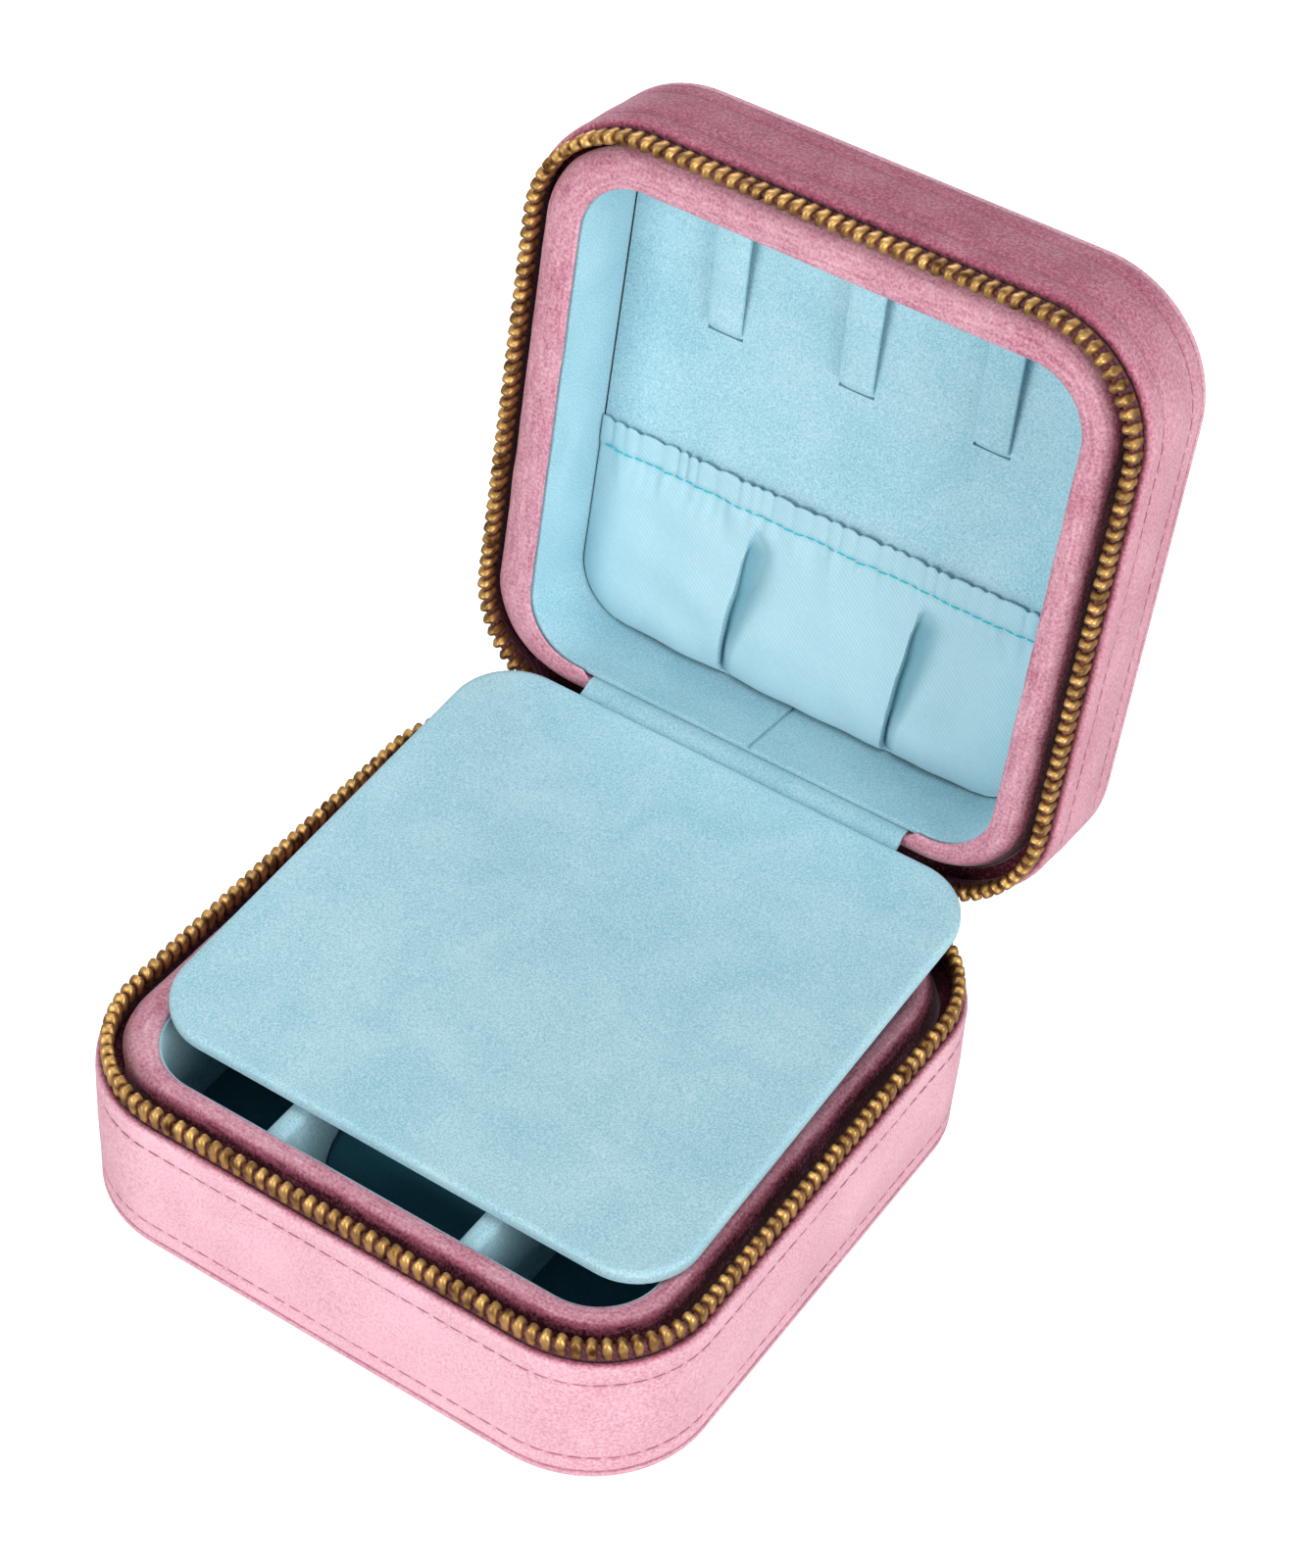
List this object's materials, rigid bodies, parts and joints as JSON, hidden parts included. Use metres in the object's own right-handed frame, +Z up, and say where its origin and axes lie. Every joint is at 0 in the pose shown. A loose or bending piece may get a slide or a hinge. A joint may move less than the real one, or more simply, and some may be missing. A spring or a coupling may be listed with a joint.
{
  "type": "jewelry box",
  "caption": "Square velvet travel jewelry box with a zip round the middle, a hinged lid with necklace straps and a gathered pocket, a suede flap, dividers and ring rolls.",
  "frame": {"origin": "centre of the underside of the base", "axes": "+X to the right along the lid's hinge, +Y to the back where the hinge is, +Z up"},
  "size_m": [0.115, 0.1532, 0.1448],
  "materials": {
    "velvet": "pink short-pile velvet over thin foam",
    "board": "grey pressed board",
    "zip_tape": "pink woven polyester tape",
    "zip_brass": "aged brass",
    "suede": "pale blue microsuede",
    "pocket_satin": "pale blue satin-weave cloth",
    "elastic": "covered elastic band"
  },
  "bodies": {
    "base": {"base_bottom_cover": "velvet", "base_wall_cover": "velvet", "base_bottom_board": "board", "base_wall_board": "board", "base_collar": "velvet", "base_wall_lining": "suede", "base_floor_lining": "suede", "divider_left": "suede", "divider_right": "suede", "ring_roll_1": "suede", "ring_roll_2": "suede", "ring_roll_3": "suede", "ring_roll_4": "suede", "ring_roll_5": "suede", "base_zip_tape": "zip_tape", "base_zip_teeth": "zip_brass", "base_zip_stops": "zip_brass", "spine": "velvet"},
    "lid": {"lid_wall_cover": "velvet", "lid_top_cover": "velvet", "lid_top_board": "board", "lid_wall_board": "board", "lid_collar": "velvet", "lid_wall_lining": "suede", "lid_panel": "suede", "lid_zip_tape": "zip_tape", "lid_zip_teeth": "zip_brass", "lid_zip_stops": "zip_brass", "pocket_cloth": "pocket_satin", "pocket_elastic": "elastic", "flap_hinge_tail": "suede"},
    "flap_hinge": {"flap_hinge_roll": "suede"},
    "flap": {"flap_cover": "suede", "flap_board": "board", "flap_lining": "suede"},
    "zip_slider": {"zip_slider": "zip_brass"},
    "zip_pull": {"zip_pull": "zip_brass"},
    "strap_left": {"necklace_strap_left": "suede"},
    "strap_centre": {"necklace_strap_centre": "suede"},
    "strap_right": {"necklace_strap_right": "suede"}
  },
  "joints": [
    {"name": "lid_hinge", "type": "hinge", "parent": "base", "child": "lid", "pos_m": [0, 0.0575, 0.0315], "axis": [-1, 0, 0], "range_deg": [-97.5, 0], "deforming": ["spine"]},
    {"name": "flap_fold", "type": "hinge", "parent": "lid", "child": "flap_hinge", "pos_m": [0, 0.05853, 0.03933], "axis": [-1, 0, 0], "range_deg": [0, 102.14]},
    {"name": "flap_lift", "type": "hinge", "parent": "flap_hinge", "child": "flap", "pos_m": [0, 0.05853, 0.03933], "axis": [-1, 0, 0], "range_deg": [0, 95]},
    {"name": "zip_slide", "type": "slide", "parent": "base", "child": "zip_slider", "axis": [-1, 0, 0], "range_m": [0, 0.006]},
    {"name": "pull_swing", "type": "hinge", "parent": "zip_slider", "child": "zip_pull", "pos_m": [-0.0264, 0.05925, 0.0315], "axis": [1, 0, 0], "range_deg": [0, 60]},
    {"name": "strap_left_lift", "type": "hinge", "parent": "lid", "child": "strap_left", "pos_m": [-0.0256, 0.08855, 0.13176], "axis": [-1, 0, 0], "range_deg": [0, 28]},
    {"name": "strap_centre_lift", "type": "hinge", "parent": "lid", "child": "strap_centre", "pos_m": [0, 0.08855, 0.13176], "axis": [-1, 0, 0], "range_deg": [0, 28]},
    {"name": "strap_right_lift", "type": "hinge", "parent": "lid", "child": "strap_right", "pos_m": [0.0256, 0.08855, 0.13176], "axis": [-1, 0, 0], "range_deg": [0, 28]}
  ],
  "couplings": [
    {"joint": "flap_fold", "follows": "lid_hinge", "ratio": -1.0465}
  ]
}
